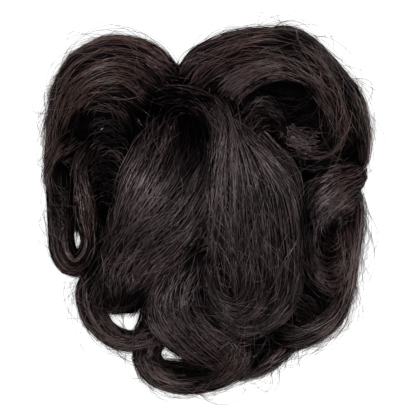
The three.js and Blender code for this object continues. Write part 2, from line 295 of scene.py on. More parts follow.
# Fans of strands that run on from lock to lock: how many strands each has, how bright they are, how far they
# stray, how many points they have, guide lines side by side from root to tip, and how steeply they may fall
Fan = namedtuple("Fan", "count tone stray points guides steep", defaults=(STEEPEST,))
FANS = {
    "crown_fan": Fan(370, 0.52, 1.5, 14, (
        ((-6, 70), (5, 63), (10, 48), (6, 31), (2, 9), (-1, -16), (-4, -41)),
        ((-5, 72), (7, 65), (14, 50), (14, 31), (13, 6), (11, -19), (10, -44)),
        ((-4, 74), (10, 67), (17, 52), (22, 31), (27, 6), (30, -19), (30, -44)),
        ((-2, 75), (12, 68), (20, 49), (33, 32), (45, 12), (50, -13), (51, -39)),
        ((-1, 77), (14, 69), (22, 45), (41, 28), (55, 9), (60, -16), (61, -41)),
    )),
    "crown_turn": Fan(310, 0.46, 1.2, 16, (
        ((56, -3), (60, -25), (60, -47), (52, -64), (38, -75), (24, -78), (12, -72), (1, -58), (-4, -41)),
        ((40, -6), (45, -28), (44, -47), (37, -61), (26, -69), (16, -67), (6, -57), (0, -44), (-1, -28)),
        ((24, -3), (30, -28), (30, -44), (26, -56), (19, -62), (11, -60), (4, -51), (0, -38), (0, -24)),
        ((12, -6), (21, -28), (24, -41), (21, -50), (16, -54), (10, -51), (6, -44), (4, -33), (4, -22)),
    )),
    "sweep_fan": Fan(370, 0.53, 1.7, 13, (
        ((-28, 57), (-39, 40), (-47, 23), (-53, 6), (-58, -11), (-63, -25)),
        ((-21, 55), (-30, 37), (-39, 18), (-47, 3), (-54, -13), (-62, -28)),
        ((-6, 63), (-2, 46), (-12, 23), (-28, 3), (-43, -11), (-57, -26)),
        ((-1, 60), (4, 40), (-4, 18), (-19, -2), (-36, -16), (-53, -33)),
        ((4, 50), (4, 28), (-2, 4), (-14, -14), (-30, -29), (-47, -46)),
        ((6, 43), (2, 15), (0, -8), (-9, -24), (-20, -39), (-35, -54)),
    )),
    "back_fan": Fan(320, 0.50, 1.1, 13, (
        ((-24, -35), (-34, -48), (-39, -61), (-37, -72), (-30, -81), (-22, -87), (-15, -94), (-7, -100)),
        ((-15, -34), (-24, -46), (-29, -59), (-26, -70), (-18, -81), (-8, -90), (2, -96), (10, -103)),
        ((-9, -36), (-15, -48), (-18, -59), (-15, -69), (-7, -79), (2, -87), (10, -94), (16, -103)),
        ((-4, -40), (-8, -50), (-8, -60), (-4, -68), (4, -77), (12, -85), (18, -93), (21, -102)),
        ((0, -50), (-1, -60), (2, -67), (9, -74), (17, -80), (23, -88), (26, -96), (25, -104)),
    )),
    "hole_left": Fan(60, 0.45, 0.5, 8, (
        ((-71, -58), (-65, -66), (-58, -74), (-50, -80)),
        ((-67, -56), (-63, -64), (-56, -72), (-49, -79)),
    )),
    "hole_right": Fan(50, 0.45, 0.5, 8, (
        ((-40, -57), (-41, -65), (-44, -73), (-48, -81)),
        ((-35, -60), (-36, -67), (-39, -76), (-44, -83)),
    )),
    "hole_top": Fan(60, 0.35, 0.8, 8, (
        ((-66, -54), (-59, -59), (-52, -60), (-45, -58), (-40, -53)),
        ((-67, -57), (-61, -63), (-54, -64), (-48, -61), (-41, -57)),
    )),
    "side_mess": Fan(70, 0.80, 2.5, 9, (
        ((68, -6), (72, -14), (77, -20), (83, -24)),
        ((84, -6), (81, -14), (76, -22), (70, -27)),
        ((66, -20), (72, -22), (79, -18), (85, -12)),
    ), 0.4),
    "low_mess": Fan(80, 0.70, 2.5, 9, (
        ((52, -52), (60, -52), (68, -56), (72, -64)),
        ((48, -60), (56, -60), (64, -64), (68, -70)),
        ((70, -50), (66, -58), (58, -64), (50, -68)),
    ), 0.4),
    "hollow_arcs": Fan(165, 0.74, 2.6, 10, (
        ((-84, 56), (-75, 67), (-62, 70), (-49, 66), (-40, 56)),
        ((-78, 50), (-71, 58), (-61, 60), (-51, 55), (-45, 47)),
        ((-76, 37), (-69, 44), (-61, 47), (-53, 43), (-48, 37)),
        ((-73, 23), (-67, 31), (-61, 33), (-55, 31), (-52, 26)),
        ((-71, 8), (-66, 16), (-61, 18), (-57, 16), (-55, 12)),
        ((-69, -6), (-65, 2), (-61, 4), (-58, 2), (-57, -2)),
    ), 0.3),
    "eye_fan": Fan(220, 0.58, 2.4, 12, (
        ((18, 50), (22, 61), (30, 68), (39, 68), (46, 63), (50, 55)),
        ((22, 44), (26, 53), (33, 59), (40, 59), (46, 54), (49, 47)),
        ((27, 38), (31, 46), (37, 51), (44, 50), (49, 43), (51, 37)),
    )),
    # A painted sheen: this fan and eye_floor are brighter than the rest
    "roll_fan": Fan(210, 1.05, 1.2, 12, (
        ((3, 70), (10, 78), (21, 85), (35, 90), (50, 91)),
        ((9, 64), (17, 72), (27, 79), (40, 84), (54, 85)),
        ((14, 60), (22, 68), (31, 74), (44, 79), (56, 80)),
    )),
    "eye_arcs": Fan(44, 0.46, 1.9, 12, (
        ((41, 74), (47, 70), (54, 68), (61, 70), (66, 75)),
        ((43, 66), (49, 62), (56, 62), (63, 66), (67, 70)),
        ((45, 57), (52, 54), (59, 55), (65, 60), (67, 66)),
        ((66, 74), (67, 66), (65, 58), (60, 52), (54, 49)),
    ), 0.3),
    "eye_floor": Fan(120, 1.15, 2.4, 10, (
        ((41, 54), (47, 46), (55, 39), (69, 37)),
        ((50, 53), (55, 50), (62, 48), (72, 48)),
    )),
    "side_fan": Fan(280, 0.56, 1.6, 12, (
        ((97, 31), (86, 29), (74, 26), (63, 18), (59, 9)),
        ((97, 21), (86, 17), (76, 11), (67, 3), (63, -5)),
        ((97, 12), (88, 7), (79, 1), (72, -6), (67, -13)),
        ((96, 3), (89, -2), (84, -8), (81, -14)),
    )),
    "side_turn": Fan(210, 0.50, 1.2, 14, (
        ((60, 6), (59, -8), (59, -24), (62, -38), (70, -48), (80, -50), (88, -42)),
        ((63, -2), (62, -15), (64, -28), (69, -37), (77, -41), (84, -37), (88, -28)),
        ((67, -12), (67, -19), (70, -27), (76, -30), (81, -26), (84, -18), (85, -9)),
    )),
    "right_turn": Fan(220, 0.50, 1.2, 14, (
        ((82, -47), (79, -58), (72, -67), (63, -71), (53, -72), (45, -70)),
        ((88, -36), (86, -50), (80, -64), (69, -73), (57, -79), (46, -81)),
        ((89, -50), (85, -64), (76, -75), (63, -82), (51, -85), (38, -88)),
    )),
    "tuft_fan": Fan(120, 0.42, 1.2, 10, (
        ((44, -82), (36, -92), (26, -101), (14, -107)),
        ((58, -84), (46, -94), (34, -101), (22, -107)),
    )),
    "drop_fan": Fan(150, 0.45, 1.2, 10, (
        ((12, -78), (14, -90), (6, -103), (-8, -110)),
        ((32, -80), (30, -92), (23, -103), (10, -110)),
    )),
    "ring_mess": Fan(60, 0.42, 3.5, 12, (
        ((-96, 24), (-92, 14), (-86, 8), (-84, -2)),
        ((-97, 8), (-92, 0), (-88, -8), (-86, -16)),
        ((-97, -8), (-92, -14), (-88, -22), (-84, -26)),
    )),
    "ring_fan": Fan(150, 0.52, 1.4, 14, (
        ((-66, 46), (-74, 36), (-80, 24), (-81, 6), (-79, -8), (-74, -22)),
        ((-62, 43), (-70, 34), (-75, 22), (-69, 4), (-68, -8), (-71, -22)),
    )),
    "sweep_end": Fan(170, 0.48, 1.4, 10, (
        ((-66, -33), (-67, -44), (-66, -54), (-61, -64)),
        ((-52, -33), (-53, -42), (-55, -52), (-54, -65)),
        ((-40, -38), (-40, -47), (-42, -56), (-46, -67)),
    )),
    "back_inner": Fan(90, 0.45, 1.0, 10, (
        ((-40, -84), (-37, -93), (-28, -97), (-16, -98), (-4, -99)),
        ((-37, -87), (-31, -93), (-24, -94), (-14, -95), (-4, -97)),
    )),
    "whorl_hairs": Fan(50, 0.60, 2.5, 14, (
        ((-41, 71), (-25, 77), (-10, 74), (6, 65), (15, 52)),
        ((-35, 59), (-24, 68), (-10, 68), (1, 59), (7, 43)),
        ((-25, 49), (-19, 60), (-9, 60), (-2, 50), (1, 37)),
    )),
    "notch_left": Fan(50, 0.55, 0.8, 9, (
        ((-39, 99), (-30, 95), (-22, 89), (-16, 80)),
        ((-43, 93), (-35, 88), (-27, 82), (-21, 75)),
    )),
    "notch_right": Fan(50, 0.55, 0.8, 9, (
        ((1, 97), (-7, 95), (-14, 89), (-18, 80)),
        ((5, 90), (-3, 88), (-10, 83), (-15, 75)),
    )),
    "left_tip": Fan(120, 0.50, 1.5, 10, (
        ((-67, 44), (-78, 39), (-89, 32), (-97, 22), (-97, 12)),
        ((-89, 55), (-94, 43), (-98, 31), (-100, 21), (-98, 10)),
    )),
}

# Strands low in the gaps that would let the floor show through, painted dark as the gaps' shade: their height
# and two guide lines
FILLS = (
    (12, ((43, -60), (53, -70), (66, -71), (77, -58)), ((52, -49), (60, -57), (69, -58), (76, -50))),
    (22, ((-12, -42), (-8, -52), (-2, -60), (6, -66)), ((-4, -38), (-1, -48), (4, -56), (10, -61))),
    (8, ((-24, -96), (-18, -98), (-10, -99)), ((-24, -100), (-16, -101), (-8, -102))),
    (14, ((-66, -3), (-67, -16), (-68, -28), (-66, -38)), ((-59, -3), (-62, -16), (-63, -28), (-63, -39))),
    (16, ((58, 36), (71, 35), (86, 37), (97, 40)), ((61, 24), (72, 22), (86, 24), (97, 28))),
    (15, ((-79, 38), (-86, 34), (-92, 29), (-97, 22)), ((-78, 28), (-84, 27), (-90, 22), (-96, 14))),
    (12, ((-85, 24), (-84, 8), (-83, -2), (-83, -10)), ((-80, 22), (-80, 6), (-80, -6), (-80, -18))),
    (12, ((-89, 36), (-88, 28), (-87, 20), (-86, 12)), ((-80, 36), (-80, 28), (-80, 20), (-80, 12))),
    (12, ((-76, 42), (-75, 32), (-74, 24), (-73, 10)), ((-66, 42), (-66, 32), (-66, 22), (-66, 10))),
)

# How many fine hairs stand off the outline of each lock
FLYAWAYS = {
    "left_roll": 60, "right_roll": 40, "right_outer": 45, "left_ring": 40, "left_back_ring": 45,
    "back_ring": 35, "right_edge": 90, "right_back_ring": 25, "back_tuft": 45, "back_drop": 10,
    "right_side_curl": 10,
}

net_low, net_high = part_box("net_base")
SHIFT = (net_low + net_high) / 2 / MM - Vector((*BASE_CENTRE, 0))
SHIFT.z = 0


# Locks
def rounded(points, place):
    """A centripetal curve through the points, at places counted in points."""
    ends = np.vstack([2 * points[0] - points[1], points, 2 * points[-1] - points[-2]])
    row = np.minimum(place.astype(int), len(points) - 2)
    before, start, end, after = (ends[row + step] for step in range(4))
    gap_before = np.linalg.norm(start - before, axis=1)[:, None] ** 0.5
    gap = np.linalg.norm(end - start, axis=1)[:, None] ** 0.5
    gap_after = np.linalg.norm(after - end, axis=1)[:, None] ** 0.5
    leave = (start - before) / gap_before - (end - before) / (gap_before + gap) + (end - start) / gap
    arrive = (end - start) / gap - (after - start) / (gap + gap_after) + (after - end) / gap_after
    leave, arrive = leave * gap, arrive * gap
    t = (place - row)[:, None]
    square = 3 * (end - start) - 2 * leave - arrive
    cube = 2 * (start - end) + leave + arrive
    return start + leave * t + square * t**2 + cube * t**3


class Lock:
    """The middle line of a lock with its breadth and depth, in millimetres."""

    SAMPLES = 12

    def __init__(self, rows):
        table = np.array(rows, float)
        table[:, :3] += SHIFT
        count = len(rows) - 1
        place = np.linspace(0, count, count * self.SAMPLES + 1)
        self.middle = rounded(table[:, :3], place)
        steps = np.linalg.norm(np.diff(self.middle, axis=0), axis=1)
        self.length = steps.sum()
        self.along = np.concatenate([[0], np.cumsum(steps)]) / self.length
        self.half_breadth = self.eased(place, table[:, 3]) / 2
        self.half_depth = self.eased(place, table[:, 4]) / 2
        self.tangent = unit(np.gradient(self.middle, axis=0))
        self.side = unit(np.cross(self.tangent, (0, 0, 1)))
        self.lift = np.cross(self.side, self.tangent)

    @staticmethod
    def eased(place, values):
        row = np.minimum(place.astype(int), len(values) - 2)
        t = place - row
        return values[row] + (values[row + 1] - values[row]) * t * t * (3 - 2 * t)

    def at(self, along, values):
        if values.ndim == 1:
            return np.interp(along, self.along, values)
        return np.stack([np.interp(along, self.along, column) for column in values.T], axis=-1)

    def girth(self):
        return np.pi * (self.half_breadth + self.half_depth).mean()

    def place(self, along, angle, reach):
        """Points on the lock: along from root to tip, round it by angle from its right side, out by reach."""
        out = (
            self.at(along, self.side) * (self.at(along, self.half_breadth) * np.cos(angle))[..., None]
            + self.at(along, self.lift) * (self.at(along, self.half_depth) * np.sin(angle))[..., None]
        )
        points = self.at(along, self.middle) + out * reach[..., None]
        return points, out


class Cover:
    """The height of the hair's upper side, on a square grid, smoothed so that strands bridge the gaps."""

    CELL = 2
    HALF = 132
    ALONG, AROUND = 150, 60
    BRIDGE_ROUNDS = 2
    LEVEL_ROUNDS, LEVEL_REACH = 8, 2

    def __init__(self, paths):
        steps = np.arange(-self.HALF, self.HALF + 1, self.CELL)
        x, y = np.meshgrid(steps - BASE_CENTRE[0], steps - BASE_CENTRE[1], indexing="ij")
        inside = np.maximum(0, 1 - (x / BED_HALF_WIDTH) ** 2 - (y / BED_HALF_LENGTH) ** 2)
        self.grid = BED_RISE * np.sqrt(inside)
        mesh = np.meshgrid(np.linspace(0, 1, self.ALONG), np.linspace(0, np.pi, self.AROUND))
        along, angle = (part.ravel() for part in mesh)
        for path in paths:
            points, _ = path.place(along, angle, np.ones(along.size))
            column, row = np.round((points[:, :2] + self.HALF) / self.CELL).astype(int).T
            np.maximum.at(self.grid, (column, row), points[:, 2])
        for _ in range(self.BRIDGE_ROUNDS):
            near = [np.roll(self.grid, step, axis) for axis in (0, 1) for step in (-1, 0, 1)]
            self.grid = 0.5 * np.max(near, axis=0) + 0.5 * np.mean(near, axis=0)
        self.level = self.grid
        for axis in (0, 1) * self.LEVEL_ROUNDS:
            sides = sum(np.roll(self.level, reach, axis) for reach in (self.LEVEL_REACH, -self.LEVEL_REACH))
            self.level = (self.level + sides) / 3

    def look_up(self, grid, flat):
        place = np.clip((flat + self.HALF) / self.CELL, 0, len(grid) - SHORT_OF_LAST)
        low = place.astype(int)
        across, upward = np.moveaxis(place - low, -1, 0)
        column, row = np.moveaxis(low, -1, 0)
        near = grid[column, row] * (1 - across) + grid[column + 1, row] * across
        far = grid[column, row + 1] * (1 - across) + grid[column + 1, row + 1] * across
        return near * (1 - upward) + far * upward

    def height(self, flat):
        return self.look_up(self.grid, flat)

    def openness(self, points):
        """Painted light and shade: more than 1 on hair that stands above the hair around it, less where it
        lies lower.
        """
        above = points[..., 2] - self.look_up(self.level, points[..., :2])
        return np.clip(LEVEL_LIGHT + above / SHADE_DEPTH, LEAST_LIGHT, MOST_LIGHT)


def unit(vectors):
    return vectors / np.maximum(np.linalg.norm(vectors, axis=-1, keepdims=True), 1e-9)


def spot(points, hollow):
    """The strength of a hollow's painted shade at each point, and of a patch's painted sheen: full in its
    middle, nothing past its rim.
    """
    across = (points[..., 0] - hollow.x - SHIFT.x) / hollow.wide
    upward = (points[..., 1] - hollow.y - SHIFT.y) / hollow.long
    return hollow.dark * np.exp(-((across**2 + upward**2) ** 2))


def daylight(points):
    """How much light is painted into hair's tone: 1 in the open, near 0 in a deep hollow, above 1 on a
    painted sheen.
    """
    light = COVER.openness(points)
    for hollow in HOLLOWS:
        light *= 1 - spot(points, hollow)
    return light


def lit(points, least):
    """How much painted light loose hair takes: no less than a share of the full painted light."""
    return least + (1 - least) * daylight(points)


# Meshes
def finish_piece(name, mesh, materials):
    piece = bpy.data.objects.new(name, mesh)
    bpy.context.scene.collection.objects.link(piece)
    for material in materials:
        mesh.materials.append(material)
    mesh.polygons.foreach_set("use_smooth", np.ones(len(mesh.polygons), bool))
    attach(piece, "root")
    return piece


def mapped_grid(bm, around, along, surface, size):
    """A grid whose two directions are wrapped onto a closed surface, with its map in centimetres."""
    made = bmesh.ops.create_grid(bm, x_segments=around, y_segments=along, size=0.5, calc_uvs=True)
    verts = made["verts"]
    uv = bm.loops.layers.uv["lock"]
    for face in {face for vert in verts for face in vert.link_faces}:
        for loop in face.loops:
            loop[uv].uv = (loop[uv].uv.x * size[0], loop[uv].uv.y * size[1] + size[2])
    shares = np.array([vert.co for vert in verts])[:, :2] + 0.5
    places = surface(shares[:, 0], shares[:, 1])
    # Each corner's tone is the light and shade painted on it
    layer = bm.verts.layers.float["tone"]
    for vert, point, light in zip(verts, places, daylight(places)):
        vert.co = point * MM
        vert[layer] = light
    bmesh.ops.remove_doubles(bm, verts=verts, dist=SAME_PLACE * MM)


def close_holes(bm):
    rims = [edge for edge in bm.edges if edge.is_boundary]
    bmesh.ops.holes_fill(bm, edges=rims, sides=0)
    bmesh.ops.recalc_face_normals(bm, faces=bm.faces)


def random_waves(rng, number, fewest, most, twist):
    """Waves round a lock: how many crests each has, where they lie and how far they turn along it."""
    return rng.uniform((fewest, 0, -twist), (most, 2 * np.pi, twist), (number, 3))


def lock_core(bm, path, core, rng):
    """The mass inside a lock, with a groove between each bundle of strands and rounded ends."""
    waves = random_waves(rng, CORE_WAVES, *CORE_RIDGES, CORE_TWIST)

    def surface(around, along):
        angle = around * 2 * np.pi
        groove = sum(np.sin(np.round(count) * angle + phase + drift * along) for count, phase, drift in waves)
        past = np.maximum(0, np.abs(2 * along - 1) - 1 + 2 * ROUND_END) / (2 * ROUND_END)
        reach = (core + CORE_GROOVE * groove) * np.sqrt(np.maximum(BLUNT_END, 1 - past**2))
        points, _ = path.place(along, angle, reach)
        points[:, 2] = np.maximum(points[:, 2], LEAST_HEIGHT / 2)
        return points

    size = (path.girth() / MM_PER_CM, path.length / MM_PER_CM, rng.uniform(0, MAPS_APART))
    mapped_grid(bm, CORE_AROUND, max(CORE_FEWEST, int(path.length / CORE_STEP)), surface, size)
    close_holes(bm)


def bed_core(bm):
    """The root bed: a crescent of hair between the net and the locks."""
    middle = np.array((*BASE_CENTRE, 0)) + SHIFT

    def surface(around, along):
        angle = around * 2 * np.pi
        outside = along < 0.5
        climb = np.where(outside, along * 2, 2 - along * 2) * np.pi / 2
        ridges = sum(depth * np.sin(count * angle + twist * climb) for depth, count, twist in BED_WAVES)
        groove = 1 + ridges * np.sin(climb)
        wide = np.where(outside, BED_HALF_WIDTH * groove, NET_HALF_WIDTH + BED_OVER_NET)
        long = np.where(outside, BED_HALF_LENGTH * groove, NET_HALF_LENGTH + BED_OVER_NET)
        rise = np.where(outside, BED_RISE, NET_RISE + BED_OVER_NET)
        flat = np.cos(climb)
        x, y = wide * flat * np.cos(angle), long * flat * np.sin(angle)
        return np.stack([x, y, rise * np.sin(climb)], axis=1) + middle

    mapped_grid(bm, BED_AROUND, BED_ALONG, surface, BED_MAP)
    bmesh.ops.recalc_face_normals(bm, faces=bm.faces)


def core_piece(node, styles, material, rng):
    bm = bmesh.new()
    bm.loops.layers.uv.new("lock")
    bm.verts.layers.float.new("tone")
    for name, style in styles.items():
        lock_core(bm, PATHS[name], style.core, rng)
    if node == "crown_hair":
        bed_core(bm)
    mesh = bpy.data.meshes.new(node + "_mass")
    bm.to_mesh(mesh)
    bm.free()
    piece = finish_piece(node + "_mass", mesh, (material,))
    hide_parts(node)


# Strands
Strands = namedtuple("Strands", "points outward thick tone")

# Layers on a lock: how densely they cover its upper side and its flanks, strands to a bundle, thickness, the
# lowest and highest share of the lock's own radius, how far strands wander and how bright they are
Layer = namedtuple("Layer", "cover flank bundle thick low high wander tone")
LAYERS = (
    # The lowest layer is painted darker, as shade under the layers above it
    Layer(cover=0.80, flank=0.9, bundle=3, thick=(0.42, 0.60), low=0.94, high=0.99, wander=0.06, tone=0.22),
    Layer(cover=0.55, flank=0.9, bundle=2, thick=(0.38, 0.58), low=0.97, high=1.03, wander=0.12, tone=0.63),
    Layer(cover=0.12, flank=0.5, bundle=1, thick=(0.26, 0.42), low=1.00, high=1.08, wander=0.17, tone=0.74),
)

# The mean thickness of a strand along its taper, as a share of its thickest part
MEAN_SHARE = 0.7


def even_shares(points):
    """Places along a strand, from 0 at its root to 1 at its tip."""
    return np.linspace(0, 1, points)[None, :]


def sway(rng, owners, t, size, turns):
    """A slow random wave along each strand, the same for all strands of one owner."""
    count = owners.max() + 1
    phase = rng.uniform(0, 2 * np.pi, count)
    pace = rng.uniform(*turns, count)
    amount = rng.normal(0, size, count)
    return amount[owners, None] * np.sin(2 * np.pi * pace[owners, None] * t + phase[owners, None])


def strand_tones(rng, mean, owner, t):
    """How bright each strand is along its length: bundles that are mostly dark, with a few bright ones."""
    bundle = (2 * mean * rng.beta(*TONE_SPREAD, owner.max() + 1))[owner, None]
    single = rng.normal(0, STRAND_SPREAD, len(owner))[:, None]
    return bundle + single + sway(rng, owner, t, STRETCH_SPREAD, (0.6, 2.6))


def clumps(path, along, angle, rng):
    """Broad bands of lighter and darker hair that run along a lock."""
    number, broadest, narrowest, twist = 4, 26, 9, 5
    mean, depth, darkest, lightest = 0.8, 0.26, 0.25, 1.35
    waves = random_waves(rng, number, path.girth() / broadest, path.girth() / narrowest, twist)
    bands = sum(np.sin(count * angle + phase + drift * along) for count, phase, drift in waves)
    return np.clip(mean + depth * bands, darkest, lightest)


def bundle_angles(path, top, flank, rng):
    """Where bundles lie round a lock: some spread evenly in plan, the others evenly over its flanks too."""
    samples, edge = 200, 0.99
    grid = np.linspace(LOW_ANGLE, HIGH_ANGLE, samples)
    speed = np.hypot(path.half_breadth.mean() * np.sin(grid), path.half_depth.mean() * np.cos(grid))
    walked = np.cumsum(speed) / speed.sum()
    above = np.arccos(rng.uniform(-edge, edge, top))
    return np.concatenate([above, np.interp(rng.random(flank), walked, grid)])


def strand_ends(path, owner, rng):
    """Where strands begin and end: half of the bundles run the whole lock, half come up where it is broad."""
    ragged, shortest, half_run, part_share = 0.06, 0.2, (0.18, 0.36), 0.5
    count, bundles = len(owner), owner.max() + 1
    begin = np.abs(rng.normal(0, ragged, count))
    end = 1 - np.abs(rng.normal(0, ragged, count))
    broad = np.cumsum(path.half_breadth) / path.half_breadth.sum()
    middle = np.interp(rng.random(bundles), broad, path.along)[owner]
    half = rng.uniform(*half_run, bundles)[owner] + rng.normal(0, ragged / 2, count)
    part = (rng.random(bundles) < part_share)[owner]
    begin = np.where(part, np.maximum(begin, middle - half), begin)
    end = np.where(part, np.minimum(end, middle + half), end)
    return begin[:, None], np.maximum(end, begin + shortest)[:, None]


def layer_strands(path, layer, style, rng):
    """One layer of the strands on the upper side and flanks of a lock, in bundles that part and join."""
    per_mm = layer.cover * style.cover / (sum(layer.thick) / 2 * MEAN_SHARE)
    top = max(2, int(2 * path.half_breadth.mean() * per_mm / layer.bundle))
    flank = max(2, int(path.girth() / 2 * per_mm * layer.flank / layer.bundle))
    bundles = top + flank
    count = bundles * layer.bundle
    owner = np.repeat(np.arange(bundles), layer.bundle)
    single = np.arange(count)
    t = even_shares(int(np.clip(path.length / STRAND_STEP, FEWEST_POINTS, MOST_POINTS)))
    begin, end = strand_ends(path, owner, rng)
    along = begin + (end - begin) * t
    spread = rng.normal(0, BUNDLE_WIDTH / (path.girth() / 2 / np.pi), count)[:, None]
    wander, least_wander, uneven = layer.wander * style.mess, 0.04, 0.012
    parting = 1 + 0.5 * np.sin(2.5 * t + 1)
    angle = bundle_angles(path, top, flank, rng)[owner, None] + spread * parting
    angle = angle + sway(rng, owner, t, least_wander + wander, (0.3, 1.1))
    angle = angle + sway(rng, single, t, wander / 3, (0.5, 2.2))
    angle = angle + rng.normal(0, 1.5 * wander, bundles)[owner, None] * (t - 0.5)
    reach = rng.uniform(layer.low, layer.high, bundles)[owner, None] + rng.normal(0, uneven, count)[:, None]
    reach = reach + sway(rng, owner, t, 0.02, (0.5, 1.5))
    sunk_ends = 0.10 * np.abs(2 * t - 1) ** 8
    reach = reach + sway(rng, single, t, wander / 5, (0.8, 2.5)) - sunk_ends
    placed, outward = path.place(along, angle, reach)
    taper = 1 - 0.6 * t**2.5
    thick = rng.uniform(*layer.thick, count)[:, None] * taper
    mean = np.where(np.arange(bundles) < top, layer.tone, max(layer.tone, FLANK_TONE)) * style.tone
    tone = strand_tones(rng, mean, owner, t) * daylight(placed)
    tone = tone * clumps(path, along, angle, rng)
    # Painted shade of the whorl over the lock's root end
    if style.root:
        tone = tone * np.clip(along / style.root, LEAST_LIGHT, 1)
    return Strands(placed, outward, thick, tone)


def upright(points):
    """The direction away from the hair for strands that lie flat."""
    outward = np.zeros_like(points)
    outward[..., 2] = 1
    return outward


def fan_lines(guides, count, points, rng):
    """Lines at random places between neighbouring guides, each over a random stretch of their length."""
    samples, least, shortest = 60, 0.2, 0.25
    loose, late_root, early_tip, ragged = 0.03, 0.16, 0.18, 0.04
    curves = (np.array(guide, float) for guide in guides)
    lines = np.array([rounded(curve, np.linspace(0, len(curve) - 1, samples)) for curve in curves])
    across = rng.uniform(0, len(guides) - 1, count) + rng.normal(0, loose, count)
    across = np.clip(across, 0, len(guides) - SHORT_OF_LAST)
    low = across.astype(int)
    share = (across - low)[:, None, None]
    begin = np.abs(rng.normal(0, late_root, count)) + np.abs(rng.normal(0, ragged, count))
    end = 1 - np.abs(rng.normal(0, early_tip, count)) - np.abs(rng.normal(0, ragged, count))
    end = np.maximum(end, np.minimum(begin + shortest, 1))
    begin = np.minimum(begin, end - least)
    place = (begin[:, None] + (end - begin)[:, None] * np.linspace(0, 1, points)) * (samples - SHORT_OF_LAST)
    step = place.astype(int)
    part = (place - step)[..., None]
    filled = lines[low] * (1 - share) + lines[low + 1] * share
    row = np.arange(count)[:, None]
    return filled[row, step] * (1 - part) + filled[row, step + 1] * part + np.array(SHIFT)[:2]


def sideways(flat):
    run = unit(np.gradient(flat, axis=1))
    return np.stack([-run[..., 1], run[..., 0]], axis=-1)


def drape(flat, rise, steep=STEEPEST):
    """Places of strands that lie on the hair and bridge its gaps, none steeper than loose hair falls."""
    height = COVER.height(flat) + rise
    fall = steep * np.linalg.norm(np.diff(flat, axis=1), axis=2)
    last = height.shape[1] - 1
    for step in range(last):
        height[:, step + 1] = np.maximum(height[:, step + 1], height[:, step] - fall[:, step])
    for step in reversed(range(last)):
        height[:, step] = np.maximum(height[:, step], height[:, step + 1] - fall[:, step])
    return np.concatenate([flat, height[..., None]], axis=2)


def fan_strands(fan, rng):
    """Strands between guide lines that lie over the locks and join them."""
    mean_rise, sunk_tip, sunk_root = 0.9, 1.2, 5
    t = even_shares(fan.points)
    single = np.arange(fan.count)
    flat = fan_lines(fan.guides, fan.count, fan.points, rng)
    drift = sway(rng, single, t, fan.stray, (0.3, 1.0)) + sway(rng, single, t, fan.stray / 4, (1.0, 2.5))
    flat = flat + sideways(flat) * drift[..., None]
    rise = np.minimum(rng.exponential(mean_rise, fan.count), MOST_RISE)[:, None]
    rise = rise - sunk_tip * t**6 - sunk_root * (1 - t) ** 8
    placed = drape(flat, rise, fan.steep)
    thick = rng.uniform(*FAN_THICK, fan.count)[:, None] * (1 - 0.5 * t**2)
    # Painted shade near each fan strand's root
    painted_root_shade = np.clip(t * 6, 0.25, 1)
    tone = strand_tones(rng, fan.tone, single, t) * painted_root_shade
    return Strands(placed, upright(placed), thick, tone * lit(placed, FAN_LEAST_LIGHT))


def fill_strands(height, guides, rng):
    """Strands low in a gap, painted dark as its shade."""
    stray, uneven = 1.2, 2
    t = even_shares(FILL_POINTS)
    single = np.arange(FILL_COUNT)
    flat = fan_lines(guides, FILL_COUNT, FILL_POINTS, rng)
    flat = flat + sideways(flat) * sway(rng, single, t, stray, (0.3, 1.2))[..., None]
    level = np.repeat(height + rng.normal(0, uneven, (FILL_COUNT, 1, 1)), FILL_POINTS, axis=1)
    placed = np.concatenate([flat, level], axis=2)
    thick = rng.uniform(*FILL_THICK, FILL_COUNT)[:, None] * np.ones_like(t)
    return Strands(placed, upright(placed), thick, strand_tones(rng, FILL_TONE, single, t))


def stray_hairs(names, count, rng):
    """Single fine hairs that cross the locks at a slant."""
    on_hair, slant, bow, least_rise, mean_rise = 3, 0.32, 0.8, 0.5, 1.3
    t = even_shares(STRAY_POINTS)
    areas = np.array([PATHS[name].length * PATHS[name].half_breadth.mean() for name in names])
    path_number = rng.choice(len(names), count, p=areas / areas.sum())
    along = rng.uniform(0.1, 0.9, count)
    turn = rng.normal(0, slant, count)
    size = rng.uniform(*STRAY_LENGTH, count)
    curl = rng.normal(0, bow, count)
    start, heading = np.zeros((count, 2)), np.zeros(count)
    for number, name in enumerate(names):
        mine = path_number == number
        path = PATHS[name]
        angle = np.arccos(rng.uniform(-0.9, 0.9, mine.sum()))
        points_on, _ = path.place(along[mine], angle, np.ones(mine.sum()))
        run = path.at(along[mine], path.tangent)
        start[mine] = points_on[:, :2]
        heading[mine] = np.arctan2(run[:, 1], run[:, 0])
    way = (heading + turn)[:, None] + curl[:, None] * (t - 0.5)
    step = np.stack([np.cos(way), np.sin(way)], axis=-1) * (size / STRAY_POINTS)[:, None, None]
    flat = start[:, None] + np.cumsum(step, axis=1) - step.sum(axis=1, keepdims=True) / 2
    flat = flat[(COVER.height(flat) > on_hair).all(axis=1)]
    count = len(flat)
    rise = least_rise + np.minimum(rng.exponential(mean_rise, count), MOST_RISE)
    placed = drape(flat, rise[:, None])
    thick = rng.uniform(*STRAY_THICK, count)[:, None] * (1 - 0.4 * t)
    tone = LEAST_STRAY_TONE + strand_tones(rng, STRAY_TONE, np.arange(count), t)
    return Strands(placed, upright(placed), thick, tone * lit(placed, STRAY_LEAST_LIGHT))


